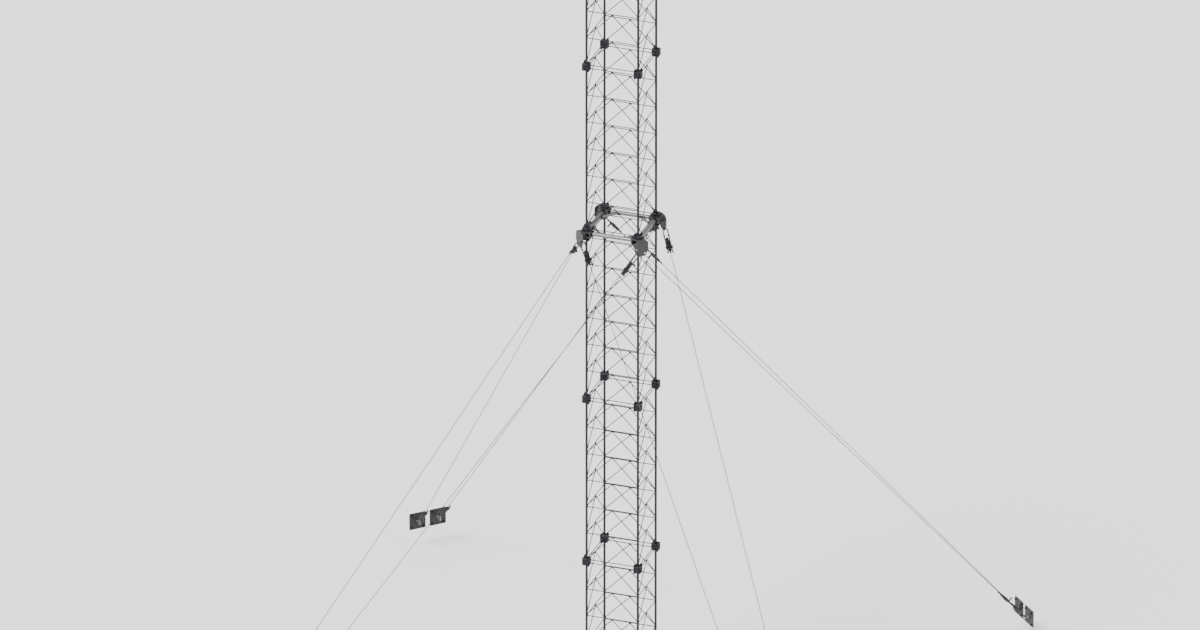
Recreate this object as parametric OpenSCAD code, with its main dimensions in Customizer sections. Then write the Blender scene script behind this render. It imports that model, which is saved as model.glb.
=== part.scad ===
// Guyed lattice mast for a flat roof: four tubular legs with welded rod bracing in five
// bolted sections, a tubular guy frame at the third joint and eight stay wires that run
// down to anchor plates on the walls around the roof.
// X and Y run along the mast's faces and Z is up. The origin is the middle of the base
// plate's underside. Each corner, face and wall is drawn once, at the front left, and
// turned about the mast's axis.

/* [Mast] */
// Distance between neighbouring leg axes
leg_spacing = 600; // [560:10:680]
// Height of one section
section_h = 2000; // [1800:50:2200]
// Height of the first section's lower end
foot_h = 150; // [130:5:200]
// Outer diameter of a leg tube
leg_d = 26.9; // [24:0.1:28]
// Wall thickness of a leg tube
leg_wall = 3.2; // [2.5:0.1:4]
// Side of the square base plate
base_side = 760; // [740:10:900]
// Thickness of the base plate
base_t = 15; // [12:1:25]

/* [Bracing] */
// Bays in one section
bays = 6; // [5:7]
// Diameter of a bracing rod across its corners
rod_d = 10.4; // [8:0.1:10.8]

/* [Leg end fittings] */
// Side of a fitting's square plates
plate_side = 90; // [86:1:96]
// Cut-off length at each plate corner
plate_chamfer = 12; // [8:1:14]
// Height of the first plate's near face from the leg's end
plate_back = 4; // [3:0.5:5]
// Thickness of the first plate
plate_t = 11; // [9:0.5:11]
// Clear gap between the two plates of a fitting
plate_gap = 11; // [11:0.5:13]
// Thickness of the second plate
backing_t = 12; // [10:0.5:14]
// Distance between the two bolts of a fitting
bolt_pitch = 79; // [76:1:82]
// Diameter of the bolt holes
bolt_hole_d = 18; // [17:0.5:19]

/* [Guy frame] */
// Height of the guy frame between the two sections that it joins
frame_h = 65; // [64.5:0.5:70]
// Outer diameter of a frame tube
ring_d = 48.3; // [42:0.1:48.4]
// Outer diameter of a frame tube's end disc
disc_d = 76; // [70:1:80]
// Outer diameter of a knee tube
knee_d = 26.9; // [21:0.1:30]
// Distance along a frame tube from the corner to the knee
knee_reach = 180; // [150:5:220]
// Distance from a leg's axis to the middle of its guy plate
guy_plate_out = 85; // [80:1:95]
// Thickness of a guy plate
guy_plate_t = 12; // [8:1:12]

/* [Guys] */
// Distance from the mast's axis to the face of each wall
wall_reach = 5000; // [4000:50:6000]
// Height of the anchors above the base plate's underside
anchor_z = 335; // [200:1:600]
// Distance between the two anchors on one wall
anchor_pitch = 252; // [230:2:320]
// Side of an anchor plate
anchor_side = 200; // [180:5:220]
// Thickness of an anchor plate
anchor_t = 12; // [10:1:15]
// Diameter of a stay wire
wire_d = 8; // [6:0.5:12]

/* [Hidden] */
CORNERS = ["front_left", "front_right", "back_right", "back_left"];
FACES = ["front", "right", "back", "left"];
SECTIONS = 5;

half = leg_spacing / 2;

// Leg ends: the rods of the first and last rows lie between the two plates of a fitting.
first_row = plate_back + plate_t + plate_gap / 2;
fitting_h = plate_back + plate_t + plate_gap + backing_t;
row_step = (section_h - 2 * first_row) / bays;
foot_rise = 13;
apex_drop = 9;
bolt_off = bolt_pitch / 2 * sqrt(0.5);

// The base plate's cut corners and its ring of holding-down holes, and a shoe's stub tube.
base_chamfer = 30;
shoe_d = 42.4;
shoe_wall = 4;
base_holes = 8;
base_pcd = base_side - 20;
base_hole_d = 22;

// Corner brackets of the guy frame.
bracket_t = 8;
bracket_side = 60;
bracket_wall = 10;
rib_t = 8;
rib_off = 30;
rib_start = 22;
tongue_w = 90;
disc_t = 10;
ring_wall = 3.2;
saddle_l = 60;
saddle_h = 36;
saddle_t = 8;
knee_wall = 2.6;
ring_z = frame_h / 2;

// Guy plates: half of the outline, across and up from the frame tubes' level, and the
// holes of the two wires, which leave at different levels so that they pass clear.
guy_outline = [[45, 40], [82, 12], [82, -84], [46, -152]];
upper_hole = [55, -62];
lower_hole = [-42, -122];
guy_hole_d = 20;

// Wire clamps, measured along the wire: a U-bolt whose legs run through a crosshead that
// carries a wedge socket, with a lock nut and an end nut on each leg and a tail to one side.
u_rod_d = 14;
u_gap = 56;
u_len = 285;
nut_d = 22;
lock_nut_z = 80;
lock_nut_h = 14;
end_nut_h = 16;
socket_foot_z = 107;
socket_belly_z = 170;
socket_foot_d = 26;
socket_belly_d = 40;
socket_tip_d = 16;
cross_z = 203;
cross_h = 32;
cross_w = 88;
cross_t = 26;
tail_z = 120;
tail_d = 18;
tail_l = 62;

// Anchor eyes: a ring on a collar, standing out from the plate.
eye_r = 24.5;
eye_rod_d = 16;
eye_out = 44;
collar_d = 34;
collar_h = 14;
anchor_chamfer = 6;
anchor_holes = 4;
anchor_pcd = 206;
anchor_hole_d = 14;

STEEL = [0.25, 0.26, 0.29];
BLACK = [0.12, 0.12, 0.13];
BRIGHT = [0.72, 0.72, 0.70];
PLATE = [0.38, 0.38, 0.39];
WIRE = [0.52, 0.53, 0.55];

// Height of a section's lower end: the guy frame lies between the third and the fourth.
function section_z(s) = foot_h + (s - 1) * section_h + (s > 3 ? frame_h : 0);
frame_z = foot_h + 3 * section_h;

// Outward and sideways directions of corner c, counted anticlockwise from the front left.
function out_dir(c) = [cos(225 + 90 * c), sin(225 + 90 * c), 0];
function side_dir(c) = [cos(315 + 90 * c), sin(315 + 90 * c), 0];

// Where a wire starts on its guy plate and ends in its anchor eye. A wire with turn 1
// runs from corner c to the next wall anticlockwise, and one with turn -1 to the wall before.
function guy_top(c, turn) = let (hole = turn > 0 ? upper_hole : lower_hole)
    out_dir(c) * (half * sqrt(2) + guy_plate_out) + side_dir(c) * hole[0]
    + [0, 0, frame_z + ring_z + hole[1]];
function guy_end(c, turn) = out_dir(c + turn) * (wall_reach - anchor_t - eye_out)
    - side_dir(c + turn) * turn * anchor_pitch / 2 + [0, 0, anchor_z];
function unit(v) = v / norm(v);

// Turns a shape that is drawn along +Z so that it starts at a and points to b, with its
// X axis as near as it can be to the direction x.
module aim(a, b, x) {
    w = unit(b - a);
    across = unit(x - w * (x * w));
    p = cross(w, across);
    multmatrix([
        [across[0], p[0], w[0], a[0]],
        [across[1], p[1], w[1], a[1]],
        [across[2], p[2], w[2], a[2]],
        [0, 0, 0, 1]
    ]) children();
}

// Places its children at the four legs.
module at_legs() for (c = [0:3]) rotate([0, 0, 90 * c]) translate([-half, -half, 0]) children();

module tube(d, wall, h) difference() {
    cylinder(d = d, h = h, $fn = 48);
    translate([0, 0, -1]) cylinder(d = d - 2 * wall, h = h + 2, $fn = 48);
}

// Square with its corners cut off.
module cut_square(side, cut) {
    a = side / 2;
    b = a - cut;
    polygon([[b, -a], [a, -b], [a, b], [b, a], [-b, a], [-a, b], [-a, -b], [-b, -a]]);
}

// The two bolts of a joint stand either side of the leg, level with the mast's corner.
module bolt_pair(d, h) {
    for (k = [-1, 1])
        translate([k * bolt_off, -k * bolt_off, 0]) cylinder(d = d, h = h, $fn = 32);
}

// One leg end's plates, drawn from the end upward and pierced for the leg and its bolts.
module end_plates(pipe_d) difference() {
    union() {
        translate([0, 0, plate_back]) linear_extrude(plate_t) cut_square(plate_side, plate_chamfer);
        translate([0, 0, fitting_h - backing_t])
            linear_extrude(backing_t) cut_square(plate_side, plate_chamfer);
    }
    cylinder(d = pipe_d - 1, h = fitting_h + 1, $fn = 48);
    bolt_pair(bolt_hole_d, fitting_h + 1);
}

// Flat plate that the whole mast stands on, with a ring of holding-down bolts.
module base_plate() color(PLATE) difference() {
    linear_extrude(base_t) cut_square(base_side, base_chamfer);
    for (k = [0:base_holes - 1])
        rotate([0, 0, (k + 0.5) * 360 / base_holes]) translate([base_pcd / 2, 0, -1])
            cylinder(d = base_hole_d, h = base_t + 2, $fn = 32);
}

// Stub tubes on the base plate with the same end plates as the legs.
module base_shoes() color(STEEL) at_legs() {
    translate([0, 0, base_t]) tube(shoe_d, shoe_wall, foot_h - base_t);
    translate([0, 0, foot_h]) mirror([0, 0, 1]) end_plates(shoe_d);
}

module section_legs(s) color(STEEL) translate([0, 0, section_z(s)]) at_legs() {
    tube(leg_d, leg_wall, section_h);
    end_plates(leg_d);
    translate([0, 0, section_h]) mirror([0, 0, 1]) end_plates(leg_d);
}

// A rod between two points of the face, given as across and up.
module rod(a, b) {
    d = b - a;
    translate([a[0], 0, a[1]]) rotate([0, atan2(d[0], d[1]), 0])
        cylinder(d = rod_d, h = norm(d), $fn = 8);
}

// One face of a section: level rods, and a pair of slanted rods in each bay that rise
// from the legs to meet under the middle of the level rod above.
module bracing(s, f) color(STEEL) rotate([0, 0, 90 * f]) translate([0, -half, section_z(s)])
    difference() {
        for (k = [0:bays]) {
            row = first_row + k * row_step;
            rod([-half, row], [half, row]);
            if (k < bays) for (side = [-1, 1])
                rod([side * half, row + foot_rise], [0, row + row_step - apex_drop]);
        }
        for (side = [-half, half])
            translate([side, 0, -1]) cylinder(d = leg_d, h = section_h + 2, $fn = 48);
    }

// Places its children along the guy frame's four level tubes, from the middle of each face.
disc_reach = half - bracket_side;
module along_faces() for (f = [0:3]) rotate([0, 0, 90 * f])
    translate([0, -half, frame_z + ring_z]) rotate([0, 90, 0]) children();

module guy_frame_tubes() color(BRIGHT) along_faces() {
    reach = disc_reach - disc_t;
    translate([0, 0, -reach]) tube(ring_d, ring_wall, 2 * reach);
}

// Discs that close the level tubes and bolt them to the corner brackets.
module guy_frame_discs() color(BLACK) along_faces()
    for (z = [-disc_reach, disc_reach - disc_t])
        translate([0, 0, z]) cylinder(d = disc_d, h = disc_t, $fn = 48);

// Short tubes across the corners of the frame, cut square to the level tubes' saddles.
module guy_frame_knees() color(BRIGHT) translate([0, 0, frame_z + ring_z]) at_legs()
    intersection() {
        translate([knee_reach, 0, 0]) rotate([0, 0, 135]) rotate([0, 90, 0])
            tube(knee_d, knee_wall, knee_reach * sqrt(2));
        translate([ring_d / 2 + saddle_t, ring_d / 2 + saddle_t, -knee_d])
            cube([knee_reach, knee_reach, 2 * knee_d]);
    }

// Flat pads between the level tubes and the ends of the knees.
module knee_saddles() color(BLACK) translate([0, 0, frame_z + ring_z]) at_legs() {
    along = knee_reach - ring_d / 2 - saddle_t / 2 - saddle_l / 2;
    translate([along, ring_d / 2, -saddle_h / 2]) cube([saddle_l, saddle_t, saddle_h]);
    translate([ring_d / 2, along, -saddle_h / 2]) cube([saddle_t, saddle_l, saddle_h]);
}

// Flat outline of a corner bracket's top and bottom plates, up to the guy plate.
module bracket_outline() intersection() {
    union() {
        square(2 * bracket_side, center = true);
        rotate(225) translate([0, -tongue_w / 2]) square([guy_plate_out, tongue_w]);
    }
    rotate(225) translate([-leg_spacing, -leg_spacing])
        square([leg_spacing + guy_plate_out - guy_plate_t / 2, 2 * leg_spacing]);
}

// Welded box between the two sections: top and bottom plates, two walls that carry the
// frame tubes and two ribs that carry the guy plate.
module corner_brackets() color(PLATE) translate([0, 0, frame_z]) at_legs() difference() {
    union() {
        linear_extrude(bracket_t) bracket_outline();
        translate([0, 0, frame_h - bracket_t]) linear_extrude(bracket_t) bracket_outline();
        translate([bracket_side - bracket_wall, -bracket_side, 0])
            cube([bracket_wall, 2 * bracket_side, frame_h]);
        translate([-bracket_side, bracket_side - bracket_wall, 0])
            cube([2 * bracket_side, bracket_wall, frame_h]);
        rotate([0, 0, 225]) for (k = [-1, 1])
            translate([rib_start, k * rib_off - rib_t / 2, 0])
                cube([guy_plate_out - guy_plate_t / 2 - rib_start, rib_t, frame_h]);
    }
    translate([0, 0, -1]) bolt_pair(bolt_hole_d, frame_h + 2);
}

// Plates square to the mast's diagonals, which take the wires' U-bolts.
module guy_plates() color(PLATE) translate([0, 0, frame_z + ring_z]) at_legs()
    rotate([0, 0, 225]) translate([guy_plate_out - guy_plate_t / 2, 0, 0])
        rotate([90, 0, 90]) linear_extrude(guy_plate_t) difference() {
            polygon(concat(guy_outline, [for (k = [3:-1:0]) [-guy_outline[k][0], guy_outline[k][1]]]));
            for (side = [-1, 1], hole = [upper_hole, lower_hole])
                translate([side * hole[0], hole[1]]) circle(d = guy_hole_d, $fn = 32);
        }

// One end fitting of a wire, drawn from the middle of the U-bolt's bow up along the wire.
// The tail stands out to the side that the wire's turn gives.
module clamp(turn) {
    translate([0, 0, u_gap / 2]) rotate([-90, 0, 0])
        rotate_extrude(angle = 180, $fn = 48)
            translate([u_gap / 2, 0]) circle(d = u_rod_d, $fn = 24);
    for (side = [-1, 1]) translate([side * u_gap / 2, 0, 0]) {
        translate([0, 0, u_gap / 2]) cylinder(d = u_rod_d, h = u_len - u_gap / 2, $fn = 24);
        translate([0, 0, lock_nut_z]) cylinder(d = nut_d, h = lock_nut_h, $fn = 6);
        translate([0, 0, u_len - end_nut_h]) cylinder(d = nut_d, h = end_nut_h, $fn = 6);
    }
    translate([0, 0, socket_foot_z])
        cylinder(d1 = socket_foot_d, d2 = socket_belly_d, h = socket_belly_z - socket_foot_z, $fn = 32);
    translate([0, 0, socket_belly_z])
        cylinder(d1 = socket_belly_d, d2 = socket_tip_d, h = u_len - socket_belly_z, $fn = 32);
    translate([-cross_w / 2, -cross_t / 2, cross_z]) cube([cross_w, cross_t, cross_h]);
    translate([0, 0, tail_z]) rotate([-90 * turn, 0, 0]) cylinder(d = tail_d, h = tail_l, $fn = 24);
}

// The bow of a foot clamp pulls against the mast side of its eye.
bow_shift = eye_r - (eye_rod_d + u_rod_d) / 2 - 0.3;
function guy_foot(c, turn) = guy_end(c, turn)
    + unit(guy_top(c, turn) - guy_end(c, turn)) * bow_shift;

// The clamps at both ends of a corner's two wires.
module guy_clamps(c) color(BLACK) for (turn = [-1, 1]) {
    top = guy_top(c, turn);
    foot = guy_foot(c, turn);
    aim(top, foot, out_dir(c)) clamp(turn);
    aim(foot, top, out_dir(c)) clamp(turn);
}

module guy_wires(c) color(WIRE) for (turn = [-1, 1]) {
    length = norm(guy_foot(c, turn) - guy_top(c, turn));
    aim(guy_top(c, turn), guy_foot(c, turn), out_dir(c)) translate([0, 0, u_len])
        cylinder(d = wire_d, h = length - 2 * u_len, $fn = 24);
}

// Square plates against a wall, each with a ring on a collar for one wire's clamp.
module anchor_plates(wall) color(PLATE) translate([0, 0, anchor_z]) rotate([0, 0, 225 + 90 * wall])
    for (side = [-1, 1]) translate([wall_reach, side * anchor_pitch / 2, 0]) rotate([0, -90, 0]) {
        difference() {
            linear_extrude(anchor_t) cut_square(anchor_side, anchor_chamfer);
            for (k = [0:anchor_holes - 1])
                rotate([0, 0, (k + 0.5) * 360 / anchor_holes]) translate([anchor_pcd / 2, 0, -1])
                    cylinder(d = anchor_hole_d, h = anchor_t + 2, $fn = 32);
        }
        cylinder(d = collar_d, h = anchor_t + collar_h, $fn = 32);
        translate([0, 0, anchor_t + eye_out]) rotate([90, 0, 0])
            rotate_extrude($fn = 48) translate([eye_r, 0]) circle(d = eye_rod_d, $fn = 24);
    }

base_plate();
base_shoes();
for (s = [1:SECTIONS]) {
    section_legs(s);
    for (f = [0:3])
        bracing(s, f);
}
guy_frame_tubes();
guy_frame_discs();
guy_frame_knees();
knee_saddles();
corner_brackets();
guy_plates();
for (c = [0:3]) {
    guy_clamps(c);
    guy_wires(c);
    anchor_plates(c);
}
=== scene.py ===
import math
import random

import bpy
import numpy as np
from mathutils import Matrix, Vector
from mathutils.geometry import tessellate_polygon


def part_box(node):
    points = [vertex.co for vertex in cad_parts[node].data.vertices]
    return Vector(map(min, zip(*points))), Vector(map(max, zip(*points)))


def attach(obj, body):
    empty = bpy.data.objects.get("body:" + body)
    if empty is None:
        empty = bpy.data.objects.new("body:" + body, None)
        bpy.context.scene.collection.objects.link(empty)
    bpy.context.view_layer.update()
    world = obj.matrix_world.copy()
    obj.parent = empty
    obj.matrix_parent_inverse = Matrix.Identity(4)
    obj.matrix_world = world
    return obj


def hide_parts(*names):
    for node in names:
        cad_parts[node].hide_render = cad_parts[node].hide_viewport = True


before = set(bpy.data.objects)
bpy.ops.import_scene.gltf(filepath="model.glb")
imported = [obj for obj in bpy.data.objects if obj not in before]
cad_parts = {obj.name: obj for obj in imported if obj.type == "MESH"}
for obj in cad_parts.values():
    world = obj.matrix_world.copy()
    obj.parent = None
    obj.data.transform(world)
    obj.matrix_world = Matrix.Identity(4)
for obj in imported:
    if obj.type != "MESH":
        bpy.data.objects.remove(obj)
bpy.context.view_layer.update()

# ------------
# Base plate. A sheared square of 15 mm steel with its corners cut off, painted
# dark grey, that spreads the mast's load on the roof. Eight holding-down studs
# pass through it, each with a washer and a nut.

MM = 0.001
SMOOTH_ANGLE = math.radians(36)


def placed(name, data):
    """New object in the scene."""
    made = bpy.data.objects.new(name, data)
    bpy.context.scene.collection.objects.link(made)
    return made


class Piece:
    """Points and faces of one piece of the mast, gathered shape by shape.
    A face's rub is 1 on an edge where the finish wears through first."""

    def __init__(self):
        self.points = []
        self.faces = []
        self.rub = []
        self.count = 0

    def add(self, shape, *places):
        points, faces, rub = shape
        for place in places:
            turn = np.array(place.to_3x3())
            shift = np.array(place.translation)
            self.points.append(points @ turn.T + shift)
            start = self.count
            self.faces += [tuple(start + i for i in face) for face in faces]
            self.rub += rub
            self.count += len(points)

    def shape(self):
        """The piece so far as one shape: points, faces and rub."""
        return np.concatenate(self.points), self.faces, self.rub

    def make(self, name, finish, slot):
        mesh = bpy.data.meshes.new(name)
        mesh.from_pydata(np.concatenate(self.points).tolist(), [], self.faces)
        corners = [len(face) for face in self.faces]
        rubbed = mesh.attributes.new("rubbed", "FLOAT", "CORNER")
        rubbed.data.foreach_set("value", np.repeat(self.rub, corners).astype(np.float32))
        mesh.shade_smooth()
        mesh.set_sharp_from_angle(angle=SMOOTH_ANGLE)
        mesh.materials.append(finish)
        made = placed(name, mesh)
        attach(made, "root")
        return made


def skin(rings, loop=False, worn=()):
    """One surface over rings of points, each with the same count or a single point.
    worn lists the bands that rub bare."""
    starts = np.cumsum([0] + [len(ring) for ring in rings])
    sides = max(len(ring) for ring in rings)
    bands = list(range(len(rings) - 1)) + ([len(rings) - 1] if loop else [])
    faces, rub = [], []
    for band in bands:
        upper = (band + 1) % len(rings)
        a, b = int(starts[band]), int(starts[upper])
        for i in range(sides):
            j = (i + 1) % sides
            if len(rings[band]) == 1:
                faces.append((a, b + j, b + i))
            elif len(rings[upper]) == 1:
                faces.append((a + i, a + j, b))
            else:
                faces.append((a + i, a + j, b + j, b + i))
            rub.append(1.0 if band in worn else 0.0)
    return np.concatenate([np.array(ring, float).reshape(-1, 3) for ring in rings]), faces, rub


def turned(outline, sides, loop=False, worn=()):
    """Shape turned round Z from an outline of (radius, height), outside upward."""
    angles = [math.tau * k / sides for k in range(sides)]
    rings = []
    for radius, height in outline:
        if radius == 0:
            rings.append([(0, 0, height)])
        else:
            rings.append([(radius * math.cos(t), radius * math.sin(t), height) for t in angles])
    return skin(rings, loop, worn)


def circle(x, y, radius, sides=20):
    """Outline of a round hole, clockwise."""
    angles = [-math.tau * k / sides for k in range(sides)]
    return [(x + radius * math.cos(t), y + radius * math.sin(t)) for t in angles]


def rimmed(bore_r, r, height, cut):
    """Outline of a ring or tube from z 0 up, whose outer rims are broken."""
    return [(bore_r, 0), (r - cut, 0), (r, cut), (r, height - cut), (r - cut, height),
            (bore_r, height)]


def cut_square(side, cut):
    """Outline of a square with its corners cut off, anticlockwise."""
    a, b = side / 2, side / 2 - cut
    return [(b, -a), (a, -b), (a, b), (b, a), (-b, a), (-a, b), (-a, -b), (-b, -a)]


def pulled_in(loop, step):
    """The loop moved to its left by one step, with mitred corners."""
    moved = []
    for k, point in enumerate(loop):
        before, here = Vector(loop[k - 1]), Vector(point)
        after = Vector(loop[(k + 1) % len(loop)])
        u, v = (here - before).normalized(), (after - here).normalized()
        left_u, left_v = Vector((-u.y, u.x)), Vector((-v.y, v.x))
        moved.append(tuple(here + (left_u + left_v) * (step / (1 + left_u.dot(left_v)))))
    return moved


def plate(outline, holes, thickness, edge):
    """Flat plate from z 0 up, its edges and the rims of its holes broken by a small cut."""
    loops = [outline] + holes
    inner = [pulled_in(loop, edge) for loop in loops]
    levels = [(0, inner), (edge, loops), (thickness - edge, loops), (thickness, inner)]
    points = [(x, y, z) for z, level in levels for loop in level for x, y in loop]
    count = sum(len(loop) for loop in loops)
    faces, rub = [], []
    start = 0
    for loop in loops:
        for band in range(3):
            for i in range(len(loop)):
                j = (i + 1) % len(loop)
                a, b = band * count + start, (band + 1) * count + start
                faces.append((a + i, a + j, b + j, b + i))
                rub.append(0.0 if band == 1 else 1.0)
        start += len(loop)
    flat = [p for loop in inner for p in loop]
    for i, j, k in tessellate_polygon([[Vector((x, y, 0)) for x, y in loop] for loop in inner]):
        turn = (flat[j][0] - flat[i][0]) * (flat[k][1] - flat[i][1]) \
            - (flat[k][0] - flat[i][0]) * (flat[j][1] - flat[i][1])
        if turn < 0:
            j, k = k, j
        faces += [(i, k, j), tuple(3 * count + n for n in (i, j, k))]
        rub += [0.0, 0.0]
    return np.array(points, float), faces, rub


def hexagon(across, height, bore):
    """Hexagon nut, or a bolt's head where the bore is 0, from z 0 up. Its corners are
    turned back at 30 degrees."""
    steps, flat_r = 24, 0.47 * across
    angles = [math.tau * k / steps for k in range(steps)]
    reach = [across / 2 / math.cos(t % (math.pi / 3) - math.pi / 6) for t in angles]
    drop = [(r - flat_r) * math.tan(math.radians(30)) for r in reach]

    def ring(radii, heights):
        return [(r * math.cos(t), r * math.sin(t), z) for r, t, z in zip(radii, angles, heights)]

    face = [flat_r] * steps
    rings = [
        ring(face, [0.0] * steps),
        ring(reach, drop),
        ring(reach, [height - d for d in drop]),
        ring(face, [height] * steps),
    ]
    if bore:
        bore_r = [bore / 2] * steps
        rings = [ring(bore_r, [0.0] * steps)] + rings + [ring(bore_r, [height] * steps)]
        return skin(rings, loop=True, worn=(1, 3))
    return skin([[(0, 0, 0)]] + rings + [[(0, 0, height)]], worn=(1, 3))


def washer(diameter, bore, thickness):
    """Flat washer from z 0 up, with a broken rim."""
    outline = rimmed(bore / 2, diameter / 2, thickness, 0.2 * thickness)
    return turned(outline, 28, loop=True, worn=(1, 3))


def threaded(diameter, length, pitch):
    """Threaded rod from z 0 up, with a short plain tip."""
    r, depth = diameter / 2, 0.6 * pitch
    outline = [(0, 0), (r - depth, 0)]
    for k in range(int((length - pitch) / pitch)):
        outline += [(r, (k + 0.5) * pitch), (r - depth, (k + 1) * pitch)]
    outline += [(r - depth, length), (0, length)]
    return turned(outline, 16)


def spun(degrees, axis):
    """Turn by an angle in degrees about one axis."""
    return Matrix.Rotation(math.radians(degrees), 4, axis)


def at(x, y, z, turn=0.0):
    """Place at a point, turned about Z."""
    return Matrix.Translation((x, y, z)) @ spun(turn, "Z")


def new_group(name, inputs, outputs):
    """Empty shader node group for numbers; inputs are values by name, outputs are names."""
    group = bpy.data.node_groups.new(name, "ShaderNodeTree")
    new_socket = group.interface.new_socket
    for label, value in inputs.items():
        socket = new_socket(label, in_out="INPUT", socket_type="NodeSocketFloat")
        socket.default_value = value
    for label in outputs:
        new_socket(label, in_out="OUTPUT", socket_type="NodeSocketFloat")
    return group, group.nodes.new("NodeGroupInput"), group.nodes.new("NodeGroupOutput")


def node(tree, kind, values=None, links=None, **settings):
    """Adds a node with its settings, the values of its inputs and the links into it."""
    made = tree.nodes.new(kind)
    for key, value in settings.items():
        setattr(made, key, value)
    for key, value in (values or {}).items():
        made.inputs[key].default_value = value
    for key, output in (links or {}).items():
        tree.links.new(output, made.inputs[key])
    return made


def ramp(tree, source, low, high, out_low=0.0, out_high=1.0):
    """Value that runs from out_low to out_high while the source runs from low to high."""
    return node(tree, "ShaderNodeMapRange", {1: low, 2: high, 3: out_low, 4: out_high},
                {0: source}, clamp=True, interpolation_type="SMOOTHSTEP").outputs[0]


def noise(tree, place, scale, detail, roughness=0.5):
    """Cloudy pattern over the surface; scale is an output or a number."""
    values, links = {"Detail": detail, "Roughness": roughness}, {"Vector": place}
    (values if isinstance(scale, float) else links)["Scale"] = scale
    return node(tree, "ShaderNodeTexNoise", values, links).outputs[0]


def maths(tree, operation, a, b):
    """Result of one sum; a and b are outputs or numbers."""
    made = node(tree, "ShaderNodeMath", operation=operation)
    for socket, term in zip(made.inputs, (a, b)):
        if isinstance(term, (int, float)):
            socket.default_value = term
        else:
            tree.links.new(term, socket)
    return made.outputs[0]


def blended(tree, share, first, second):
    """Colour between two colours; each is an output or a colour."""
    made = node(tree, "ShaderNodeMix", {}, {0: share}, data_type="RGBA")
    for socket, term in ((made.inputs[6], first), (made.inputs[7], second)):
        if isinstance(term, (tuple, list)):
            socket.default_value = (*term, 1.0)
        else:
            tree.links.new(term, socket)
    return made.outputs[2]


def soiled(tree, coat, mask, share, colour):
    """The coat with up to a share of another colour where the mask is 1."""
    return blended(tree, maths(tree, "MULTIPLY", mask, share), coat, colour)


def weather_group():
    """Rain streaks down the steel, and dust where it faces the sky."""
    group, entry, exit_ = new_group("Weather", {"Streak size": 30.0, "Dust size": 14.0},
                                    ("Streaks", "Dust"))
    place = node(group, "ShaderNodeTexCoord").outputs["Object"]
    squeezed = node(group, "ShaderNodeMapping", {"Scale": (1.0, 1.0, 0.06)}, {"Vector": place})
    rain = noise(group, squeezed.outputs[0], entry.outputs["Streak size"], 4.0, 0.6)
    settle = noise(group, place, entry.outputs["Dust size"], 5.0, 0.65)
    normal = node(group, "ShaderNodeNewGeometry").outputs["Normal"]
    facing = node(group, "ShaderNodeSeparateXYZ", {}, {0: normal}).outputs[2]
    dust = maths(group, "MULTIPLY", ramp(group, facing, 0.35, 0.95),
                 ramp(group, settle, 0.35, 0.7))
    group.links.new(ramp(group, rain, 0.46, 0.72), exit_.inputs["Streaks"])
    group.links.new(dust, exit_.inputs["Dust"])
    return group


def edge_wear_group():
    """Where the coat is rubbed or chipped through: along the edges, and in rare specks."""
    group, entry, exit_ = new_group(
        "Edge wear", {"Chip size": 160.0, "Edge share": 0.5, "Specks": 0.2}, ("Bare",))
    place = node(group, "ShaderNodeTexCoord").outputs["Object"]
    rubbed = node(group, "ShaderNodeAttribute", attribute_name="rubbed").outputs["Fac"]
    chips = noise(group, place, entry.outputs["Chip size"], 3.0, 0.7)
    patches = noise(group, place, 9.0, 2.0)
    on_edges = maths(group, "MULTIPLY", rubbed, ramp(group, chips, 0.42, 0.56))
    on_edges = maths(group, "MULTIPLY", on_edges, ramp(group, patches, 0.3, 0.6, 0.25, 1.0))
    on_edges = maths(group, "MULTIPLY", on_edges, entry.outputs["Edge share"])
    specks = maths(group, "MULTIPLY", ramp(group, chips, 0.69, 0.74), entry.outputs["Specks"])
    group.links.new(maths(group, "MAXIMUM", on_edges, specks), exit_.inputs["Bare"])
    return group


def grain_group():
    """Fine unevenness of a coat: its shade, its gloss and its relief."""
    group, entry, exit_ = new_group("Fine grain", {"Grain size": 420.0, "Patch size": 6.0},
                                    ("Shade", "Gloss", "Relief"))
    place = node(group, "ShaderNodeTexCoord").outputs["Object"]
    fine = noise(group, place, entry.outputs["Grain size"], 2.0)
    broad = noise(group, place, entry.outputs["Patch size"], 6.0, 0.6)
    group.links.new(ramp(group, broad, 0.3, 0.7), exit_.inputs["Shade"])
    mixed = maths(group, "ADD", maths(group, "MULTIPLY", fine, 0.4),
                  maths(group, "MULTIPLY", broad, 0.6))
    group.links.new(ramp(group, mixed, 0.35, 0.65), exit_.inputs["Gloss"])
    group.links.new(fine, exit_.inputs["Relief"])
    return group


WEATHER, EDGE_WEAR, GRAIN = weather_group(), edge_wear_group(), grain_group()
DUST_COLOUR = (0.105, 0.100, 0.092)
BARE_STEEL = (0.20, 0.20, 0.195)


def new_finish(name):
    """New material with its node tree and shader, and the weather and the grain on it."""
    finish = bpy.data.materials.new(name)
    finish.use_nodes = True
    tree = finish.node_tree
    weather = node(tree, "ShaderNodeGroup", node_tree=WEATHER).outputs
    grain = node(tree, "ShaderNodeGroup", node_tree=GRAIN).outputs
    return finish, tree, tree.nodes["Principled BSDF"], weather, grain


def lay_on(tree, shader, coat, rough, relief, strength, depth):
    """Puts a coat's colour, roughness and relief on the shader; depth is in metres."""
    bump = node(tree, "ShaderNodeBump", {"Strength": strength, "Distance": depth},
                {"Height": relief})
    tree.links.new(coat, shader.inputs["Base Color"])
    tree.links.new(rough, shader.inputs["Roughness"])
    tree.links.new(bump.outputs[0], shader.inputs["Normal"])


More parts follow.
